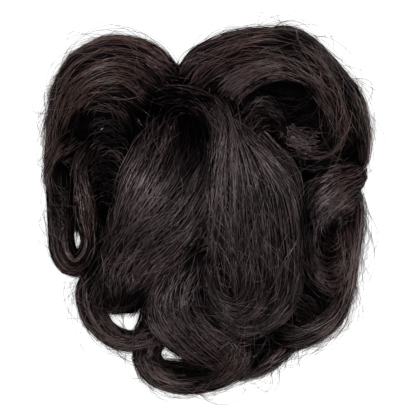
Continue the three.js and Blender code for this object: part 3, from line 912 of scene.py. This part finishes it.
def flyaways(path, count, rng):
    """Fine hairs that stand off the outer flank of a lock and bow back to it or end free."""
    last_start, stretch, free_share, mean_away = 0.75, (0.10, 0.45), 0.45, 5
    t = even_shares(FLYAWAY_POINTS)
    single = np.arange(count)
    start = rng.uniform(0, last_start, count)[:, None]
    along = np.minimum(start + rng.uniform(*stretch, count)[:, None] * t, 1)
    part_way = along[:, 5]
    flat = path.at(part_way, path.middle)[:, :2]
    side = path.at(part_way, path.side)[:, :2]
    outer = np.where((flat * side).sum(axis=1) > 0, 0, np.pi)
    angle = outer[:, None] + rng.normal(0, 0.5, count)[:, None]
    angle = angle + sway(rng, single, t, 0.2, (0.4, 1.2))
    placed, outward = path.place(along, angle, np.full(angle.shape, 0.98))
    free = rng.random(count)[:, None] < free_share
    rise = np.where(free, t**1.7, np.sin(np.pi * t))
    away = np.minimum(1 + rng.exponential(mean_away, count), STAND_PROUD)[:, None] * rise
    placed = placed + unit(outward * (1, 1, 0.35)) * away[..., None]
    thick = rng.uniform(*FLYAWAY_THICK, count)[:, None] * (1 - 0.5 * t)
    return Strands(placed, outward, thick, strand_tones(rng, FLYAWAY_TONE, single, t))


def bed_strands(count, spread, rng):
    """Hair that lies on the root bed, combed out from the whorl over an angle to each side of the front."""
    inset, rim, loose_root, bow, lift = 2, 0.985, 6, 14, (0.2, 1.6)
    t = even_shares(BED_POINTS)
    angle = np.pi / 2 + rng.uniform(-spread, spread, count)
    reach = np.array((BED_HALF_WIDTH, BED_HALF_LENGTH))
    end = np.stack([np.cos(angle), np.sin(angle)], axis=1) * (reach - inset)
    root = np.array(WHORL) - BASE_CENTRE + rng.normal(0, loose_root, (count, 2))
    bend = np.stack([-np.sin(angle), np.cos(angle)], axis=1) * rng.normal(0, bow, count)[:, None]
    share = t[..., None]
    flat = root[:, None] * (1 - share) + end[:, None] * share + bend[:, None] * np.sin(np.pi * share)
    reached = np.hypot(*np.moveaxis(flat / reach, -1, 0))
    flat = flat / np.maximum(1, reached / rim)[..., None]
    height = BED_RISE * np.sqrt(np.maximum(0.02, 1 - np.minimum(reached, rim) ** 2))
    height = height + rng.uniform(*lift, count)[:, None]
    placed = np.concatenate([flat + BASE_CENTRE, height[..., None]], axis=2) + SHIFT
    thick = rng.uniform(*BED_THICK, count)[:, None] * np.ones_like(t)
    tone = strand_tones(rng, BED_TONE, np.arange(count), t) * daylight(placed)
    return Strands(placed, upright(placed), thick, tone)


def rim_strands(count, spread, rng):
    """Hair that falls down the root bed to its rim, over an angle to each side of the front."""
    high, low, slant, lift = (0.4, 1.0), (0.03, 0.14), 0.2, (1.0, 1.02)
    t = even_shares(RIM_POINTS)
    climb = rng.uniform(*high, count)[:, None] * (1 - t) + rng.uniform(*low, count)[:, None] * t
    angle = np.pi / 2 + rng.uniform(-spread, spread, count)[:, None]
    angle = angle + rng.normal(0, slant, count)[:, None] * t
    out = np.stack([
        BED_HALF_WIDTH * np.cos(climb) * np.cos(angle),
        BED_HALF_LENGTH * np.cos(climb) * np.sin(angle),
        BED_RISE * np.sin(climb),
    ], axis=-1)
    placed = out * rng.uniform(*lift, count)[:, None, None] + np.array((*BASE_CENTRE, 0)) + SHIFT
    thick = rng.uniform(*RIM_THICK, count)[:, None] * np.ones_like(t)
    return Strands(placed, out, thick, strand_tones(rng, RIM_TONE, np.arange(count), t))


def strand_tubes(strands):
    """The corners and faces of closed three-sided tubes, one for each strand."""
    count, points = strands.thick.shape
    middles = strands.points.copy()
    middles[..., 2] = np.maximum(middles[..., 2], LEAST_HEIGHT)
    tangent = unit(np.gradient(middles, axis=1))
    across = unit(np.cross(tangent, strands.outward))
    up = np.cross(across, tangent)
    turn = 2 * np.pi * np.arange(SIDES) / SIDES
    ring = np.cos(turn)[:, None] * up[:, :, None] - np.sin(turn)[:, None] * across[:, :, None]
    corners = middles[:, :, None] + ring * (strands.thick / 2)[:, :, None, None]
    number = np.arange(count * points * SIDES).reshape(count, points, SIDES)
    after = np.roll(number, -1, axis=2)
    walls = np.stack([number[:, :-1], after[:, :-1], after[:, 1:], number[:, 1:]], axis=-1).reshape(-1, 4)
    caps = np.concatenate([number[:, 0, ::-1], number[:, -1]])
    return corners.reshape(-1, 3) * MM, walls, caps


def strand_map(first, count, points, cells):
    """Each strand's own cell of the bake map: walls first, then the two caps."""
    used, cap_side, next_cap = 0.8, 0.3, 0.6
    cell = np.stack(np.divmod(first + np.arange(count), cells), axis=1) / cells
    inset = used / cells
    u = np.arange(SIDES + 1) / SIDES * inset
    v = np.linspace(0, 1, points) * inset
    left, low = np.meshgrid(u[:-1], v[:-1])
    right, high = np.meshgrid(u[1:], v[1:])
    ring = [np.stack(corner, axis=-1) for corner in ((left, low), (right, low), (right, high), (left, high))]
    walls = (cell[:, None] + np.stack(ring, axis=2).reshape(1, -1, 2)).reshape(-1, 2)
    cap = np.array([(0, 0), (cap_side, 0), (0, cap_side)]) * inset
    caps = (cell[:, None] + cap[None]).reshape(-1, 2)
    return walls, np.concatenate([caps, caps + (0, next_cap * inset)])


def strand_runs(points, first):
    """How far along its strand each point lies, counted in stretches and far apart from strand to strand."""
    steps = np.linalg.norm(np.diff(points, axis=1, prepend=points[:, :1]), axis=2)
    return np.cumsum(steps, axis=1) / BROKEN_EVERY + RUNS_APART * (first + np.arange(len(points)))[:, None]


def rim_light_warmth(points):
    """How brown a strand is: more towards the rim of the topper, a painted rim light where light shows
    through thin hair at the outline, and on one curl.
    """
    out = np.hypot(points[..., 0] / TOPPER_HALF_WIDTH, points[..., 1] / TOPPER_HALF_LENGTH)
    return np.maximum(np.clip((out - BROWN_FROM) / BROWN_OVER, 0, 1), spot(points, BROWN_CURL))


def joined(parts, kind):
    return np.concatenate(parts).astype(kind).ravel()


def strand_piece(name, groups, materials):
    """One mesh that joins the tubes of several groups of strands."""
    corners, loops, starts, tones, rim_light_warms, runs, maps, slots = [], [], [], [], [], [], [], []
    corner_count = loop_count = first = 0
    cells = math.ceil(math.sqrt(sum(len(group.thick) for group in groups)))
    for group in groups:
        count, points = group.thick.shape
        tone = np.clip(group.tone, 0, BRIGHTEST_TONE)
        places, walls, caps = strand_tubes(group)
        maps += strand_map(first, count, points, cells)
        runs.append(np.repeat(strand_runs(group.points, first).ravel(), SIDES))
        first += count
        loops += [walls.ravel() + corner_count, caps.ravel() + corner_count]
        starts.append(loop_count + np.arange(len(walls)) * 4)
        loop_count += walls.size
        starts.append(loop_count + np.arange(len(caps)) * SIDES)
        loop_count += caps.size
        # Each face takes a copy of the hair material by its tone: painted shade, painted light, and two
        # glossy copies with painted sheen
        slot = np.digitize(tone, (DARK_TONE, GLOSS_AND_SHEEN_TONE, SHEEN_TONE))
        slots.append(np.repeat(slot[:, :-1].ravel(), SIDES))
        slots.append(slot[:, (0, -1)].T.ravel())
        corners.append(places)
        corner_count += len(places)
        tones.append(np.repeat(tone.ravel(), SIDES))
        rim_light_warms.append(np.repeat(rim_light_warmth(group.points).ravel(), SIDES))
    mesh = bpy.data.meshes.new(name)
    mesh.vertices.add(corner_count)
    mesh.vertices.foreach_set("co", joined(corners, np.float32))
    mesh.loops.add(loop_count)
    mesh.loops.foreach_set("vertex_index", joined(loops, np.int32))
    firsts = joined(starts, np.int32)
    mesh.polygons.add(len(firsts))
    mesh.polygons.foreach_set("loop_start", firsts)
    mesh.polygons.foreach_set("material_index", joined(slots, np.int32))
    for label, values in (("tone", tones), ("rim_light_warm", rim_light_warms), ("run", runs)):
        layer = mesh.attributes.new(label, "FLOAT", "POINT")
        layer.data.foreach_set("value", joined(values, np.float32))
    bake_map = mesh.uv_layers.new(name="OFBake")
    bake_map.uv.foreach_set("vector", joined(maps, np.float32))
    mesh.update(calc_edges=True)
    mesh.validate()
    finish_piece(name, mesh, materials)


# Finishes
class Shade:
    """A socket of a material's nodes that can stand in a sum or product."""

    def __init__(self, tree, socket=None):
        self.tree = tree
        self.socket = socket

    def node(self, kind, settings=None, sockets=None, output=0):
        made = self.tree.nodes.new(kind)
        for name, value in (settings or {}).items():
            setattr(made, name, value)
        for name, value in (sockets or {}).items():
            if isinstance(value, Shade):
                self.tree.links.new(value.socket, made.inputs[name])
            else:
                made.inputs[name].default_value = value
        return Shade(self.tree, made.outputs[output] if made.outputs else None)

    def maths(self, operation, left, right):
        return self.node("ShaderNodeMath", {"operation": operation}, {0: left, 1: right})

    def __radd__(self, other):
        return self.maths("ADD", self, other)

    def __rsub__(self, other):
        return self.maths("SUBTRACT", other, self)

    def __mul__(self, other):
        return self.maths("MULTIPLY", self, other)


def new_finish(name):
    material = bpy.data.materials.new(name)
    material.use_nodes = True
    material.node_tree.nodes.clear()
    return material, Shade(material.node_tree)


def mix_colour(shade, share, low, high):
    """The colour between two colours, by a share; the sockets of a colour mix are numbers 6 and 7."""
    low, high = (value if isinstance(value, Shade) else (*value, 1) for value in (low, high))
    return shade.node("ShaderNodeMix", {"data_type": "RGBA"}, {0: share, 6: low, 7: high}, 2)


def finish_surface(shade, **sockets):
    plain = {name.replace("_", " "): value for name, value in sockets.items()}
    principled = shade.node("ShaderNodeBsdfPrincipled", {}, plain)
    shade.node("ShaderNodeOutputMaterial", {}, {"Surface": principled})


def attribute(shade, name):
    return shade.node("ShaderNodeAttribute", {"attribute_name": name}, {}, "Fac")


def stretched(shade, noise, low, high):
    """Noise spread over the range from low to high."""
    ends = {"Value": noise, "From Min": NOISE_LOW, "From Max": NOISE_HIGH, "To Min": low, "To Max": high}
    return shade.node("ShaderNodeMapRange", {}, ends)


def glints_and_shade(shade):
    """Short lighter and darker stretches: painted glints where hairs turn and painted shade where they pass
    under others.
    """
    run = {"W": attribute(shade, "run"), "Scale": 1.0, "Detail": 1.0}
    noise = shade.node("ShaderNodeTexNoise", {"noise_dimensions": "1D"}, run, "Fac")
    return stretched(shade, noise, 0.35, 1.3)


def strand_lit_copy(name, light, brown, specular):
    material, shade = new_finish(name)
    tone = attribute(shade, "tone") * glints_and_shade(shade)
    bright = tone * tone
    dark = mix_colour(shade, bright, HAIR_BLACK, light)
    colour = mix_colour(shade, attribute(shade, "rim_light_warm") * bright, dark, brown)
    rough = DULL_ROUGHNESS - shade.maths("MINIMUM", tone, 1.0) * GLOSS_GAIN
    gloss = {"Specular_IOR_Level": specular, "Specular_Tint": GLOSS_TINT}
    finish_surface(shade, Base_Color=colour, Roughness=rough, **gloss)
    return material


def streaks(shade, place, fine, long):
    """Noise drawn out along a lock: so many streaks to a centimetre across, and so many along."""
    drawn = shade.node("ShaderNodeMapping", {}, {"Vector": place, "Scale": (fine, long, 1)})
    noise = shade.node("ShaderNodeTexNoise", {}, {"Vector": drawn, "Scale": 1.0, "Detail": 3.0}, "Fac")
    return stretched(shade, noise, 0, 1)


def mass_finish():
    material, shade = new_finish("hair_mass")
    flat = shade.node("ShaderNodeUVMap", {"uv_map": "lock"})
    slow = shade.node("ShaderNodeTexNoise", {}, {"Vector": flat, "Scale": 0.35, "Detail": 2.0}, "Color")
    wander = {0: slow, 1: (0.9, 0, 0), 2: flat}
    bent = shade.node("ShaderNodeVectorMath", {"operation": "MULTIPLY_ADD"}, wander)
    fine = streaks(shade, bent, 14, 0.35)
    broad = streaks(shade, bent, 4, 0.2)
    # The mass's tone holds its painted light and shade
    tone = fine * (0.35 + broad * 0.65) * attribute(shade, "tone")
    colour = mix_colour(shade, tone * tone, HAIR_BLACK, HAIR_IN_LIGHT)
    bump = shade.node("ShaderNodeBump", {}, {"Height": fine, "Strength": 0.7, "Distance": 0.0004})
    finish_surface(shade, Base_Color=colour, Roughness=0.6, Normal=bump, Specular_IOR_Level=0.03)
    return material


def net_finish():
    material, shade = new_finish("net_mesh")
    place = shade.node("ShaderNodeTexCoord", {}, {}, "Object")
    holes = {"Vector": place, "Scale": 700.0}
    cells = shade.node("ShaderNodeTexVoronoi", {"feature": "DISTANCE_TO_EDGE"}, holes, "Distance")
    thread = shade.maths("LESS_THAN", cells, 0.12)
    colour = mix_colour(shade, thread, NET_HOLE, NET_THREAD)
    bump = shade.node("ShaderNodeBump", {}, {"Height": thread, "Strength": 0.6, "Distance": 0.0003})
    finish_surface(shade, Base_Color=colour, Roughness=0.85, Normal=bump)
    return material


def clip_finish():
    material, shade = new_finish("clip_lacquer")
    place = shade.node("ShaderNodeTexCoord", {}, {}, "Object")
    specks = shade.node("ShaderNodeTexNoise", {}, {"Vector": place, "Scale": 420.0, "Detail": 4.0}, "Fac")
    colour = mix_colour(shade, specks, CLIP_DARK, CLIP_WORN)
    finish_surface(shade, Base_Color=colour, Roughness=0.24 + specks * 0.2, Specular_IOR_Level=0.5)
    return material


def floor_finish():
    material, shade = new_finish("pale_floor")
    finish_surface(shade, Base_Color=FLOOR_WHITE, Roughness=0.9, Specular_IOR_Level=0.0)
    return material


# Hair
# Lit and shaded copies of one hair material: painted shade, painted light, and painted sheen on the two
# glossy copies
strand_materials = (
    strand_lit_copy("hair_in_shade", HAIR_IN_SHADE, HAIR_IN_SHADE, 0.03),
    strand_lit_copy("hair_in_light", HAIR_IN_LIGHT, HAIR_BROWN, 0.20),
    strand_lit_copy("hair_in_gloss_and_sheen", HAIR_IN_GLOSS_AND_SHEEN, HAIR_BROWN, 0.52),
    strand_lit_copy("hair_in_sheen", HAIR_IN_SHEEN, HAIR_BROWN, 0.52),
)
mass_material = mass_finish()
PATHS = {name: Lock(rows) for name, rows in LOCKS.items()}
COVER = Cover(PATHS.values())
for number, (node, styles) in enumerate(SECTIONS.items()):
    rng = np.random.default_rng(SECTION_SEED + number)
    core_piece(node, styles, mass_material, rng)
    for name, style in styles.items():
        layers = [layer_strands(PATHS[name], layer, style, rng) for layer in LAYERS]
        strand_piece(name + "_strands", layers, strand_materials)
rng = np.random.default_rng(LOOSE_SEED)
for name, fan in FANS.items():
    strand_piece(name + "_strands", [fan_strands(fan, rng)], strand_materials)
low_strands = [bed_strands(BED_COUNT, BED_SPREAD, rng), rim_strands(RIM_COUNT, RIM_SPREAD, rng)]
for height, *guides in FILLS:
    low_strands.append(fill_strands(height, guides, rng))
strand_piece("bed_strands", low_strands, strand_materials)
lock_styles = {name: style for styles in SECTIONS.values() for name, style in styles.items()}
open_locks = [name for name, style in lock_styles.items() if style in (FULL, ROOTED, ROLLED)]
loose = [flyaways(PATHS[name], count, rng) for name, count in FLYAWAYS.items()]
loose.append(stray_hairs(open_locks, STRAY_COUNT, rng))
strand_piece("flyaway_strands", loose, strand_materials)

# Net and clips
net_material = net_finish()
clip_material = clip_finish()
for name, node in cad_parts.items():
    if name == "net_base":
        node.data.materials[0] = net_material
    if name.startswith("clip_"):
        node.data.materials[0] = clip_material


# Stage
def make_floor():
    bm = bmesh.new()
    bmesh.ops.create_grid(bm, x_segments=1, y_segments=1, size=FLOOR_HALF * MM)
    mesh = bpy.data.meshes.new("floor")
    bm.to_mesh(mesh)
    bm.free()
    floor = bpy.data.objects.new("floor", mesh)
    floor.location.z = -FLOOR_DROP * MM
    mesh.materials.append(floor_finish())
    bpy.context.scene.collection.objects.link(floor)


def soft_light(name, place, size, power):
    lamp = bpy.data.lights.new(name, "AREA")
    lamp.shape = "DISK"
    lamp.size = size
    lamp.energy = power
    light = bpy.data.objects.new(name, lamp)
    light.location = place
    light.rotation_mode = "QUATERNION"
    light.rotation_quaternion = (-Vector(place)).to_track_quat("-Z", "Y")
    bpy.context.scene.collection.objects.link(light)


def make_camera():
    """Straight above, with the photo's frame at the height where most of the outline lies."""
    across = (PHOTO_SIDE / 2 - MIDDLE_PIXEL[0]) * MM_PER_PIXEL + SHIFT.x
    upward = (MIDDLE_PIXEL[1] - PHOTO_SIDE / 2) * MM_PER_PIXEL + SHIFT.y
    lens = bpy.data.cameras.new("camera")
    lens.sensor_width = SENSOR
    lens.lens = SENSOR * (CAMERA_HEIGHT - OUTLINE_HEIGHT) / (PHOTO_SIDE * MM_PER_PIXEL)
    lens.clip_start = 0.05
    lens.clip_end = 20
    camera = bpy.data.objects.new("camera", lens)
    camera.location = Vector((across, upward, CAMERA_HEIGHT)) * MM
    bpy.context.scene.collection.objects.link(camera)
    bpy.context.scene.camera = camera


def make_world():
    world = bpy.data.worlds.new("studio")
    world.use_nodes = True
    sky = world.node_tree.nodes["Background"]
    sky.inputs["Color"].default_value = SKY_WHITE
    sky.inputs["Strength"].default_value = SKY_STRENGTH
    bpy.context.scene.world = world


make_floor()
soft_light("top_light", place=(0, 0, 2.4), size=0.4, power=74)
make_camera()
make_world()
bpy.context.scene.view_settings.view_transform = "Standard"
